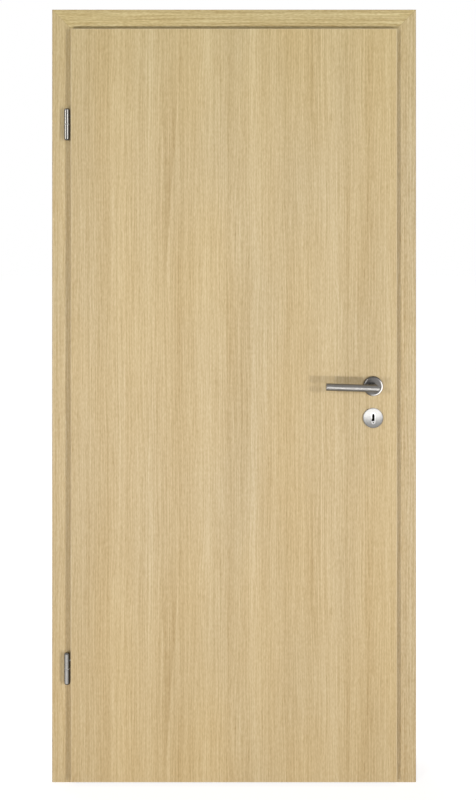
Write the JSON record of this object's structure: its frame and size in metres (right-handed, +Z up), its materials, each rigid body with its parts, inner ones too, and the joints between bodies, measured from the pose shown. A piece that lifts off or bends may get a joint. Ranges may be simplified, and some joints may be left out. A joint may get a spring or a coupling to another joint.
{
  "type": "flush door",
  "caption": "Rebated flush door leaf on drill-in hinges in a mitred wood lining with architraves, with a bar lever, a round key rose and a mortise lock.",
  "frame": {"origin": "on the outer, wall-facing face of the hinge-side lining, at floor level, in the middle of the wall's thickness", "axes": "+X along the wall from the hinge side to the lock side, +Y into the wall away from the side the leaf opens to, +Z up"},
  "size_m": [0.965, 0.256, 2.048],
  "materials": {
    "oak_decor": "satin light oak decor, straight grain",
    "core_board": "raw chipboard",
    "gasket": "matt brown",
    "hinge_nickel": "satin nickel",
    "furniture_steel": "brushed stainless",
    "lock_steel": "satin",
    "plain_steel": "plain bright",
    "washer_plastic": "black bearing washer"
  },
  "bodies": {
    "frame": {"hinge_jamb": "oak_decor", "lock_jamb": "oak_decor", "head_jamb": "oak_decor", "front_architrave_hinge": "oak_decor", "front_architrave_lock": "oak_decor", "front_architrave_head": "oak_decor", "rear_architrave_hinge": "oak_decor", "rear_architrave_lock": "oak_decor", "rear_architrave_head": "oak_decor", "seal_hinge": "gasket", "seal_lock": "gasket", "seal_head": "gasket", "strike_plate": "lock_steel", "upper_hinge_frame_knuckle": "hinge_nickel", "upper_hinge_pin": "plain_steel", "upper_hinge_washer": "washer_plastic", "lower_hinge_frame_knuckle": "hinge_nickel", "lower_hinge_pin": "plain_steel", "lower_hinge_washer": "washer_plastic"},
    "leaf": {"leaf_front_skin": "oak_decor", "leaf_rear_skin": "oak_decor", "leaf_hinge_stile": "oak_decor", "leaf_lock_stile": "oak_decor", "leaf_top_rail": "oak_decor", "leaf_bottom_rail": "oak_decor", "leaf_core": "core_board", "lock_case": "plain_steel", "lock_forend": "lock_steel", "latch_bolt": "lock_steel", "dead_bolt": "lock_steel", "upper_hinge_leaf_knuckle": "hinge_nickel", "lower_hinge_leaf_knuckle": "hinge_nickel", "front_lever_rose": "furniture_steel", "front_key_rose": "furniture_steel", "front_keyhole_insert": "furniture_steel", "rear_lever_rose": "furniture_steel", "rear_key_rose": "furniture_steel", "rear_keyhole_insert": "furniture_steel"},
    "lever_set": {"front_lever": "furniture_steel", "rear_lever": "furniture_steel", "spindle": "plain_steel"}
  },
  "joints": [
    {"name": "door_swing", "type": "hinge", "parent": "frame", "child": "leaf", "pos_m": [-0.008, -0.1015, 1.0245], "axis": [0, 0, -1], "range_deg": [0, 170]},
    {"name": "lever_turn", "type": "hinge", "parent": "leaf", "child": "lever_set", "pos_m": [0.798, -0.088, 1.053], "axis": [0, -1, 0], "range_deg": [0, 40], "stiffness_Nm_per_rad": 1.5, "springref_deg": -28.65}
  ]
}
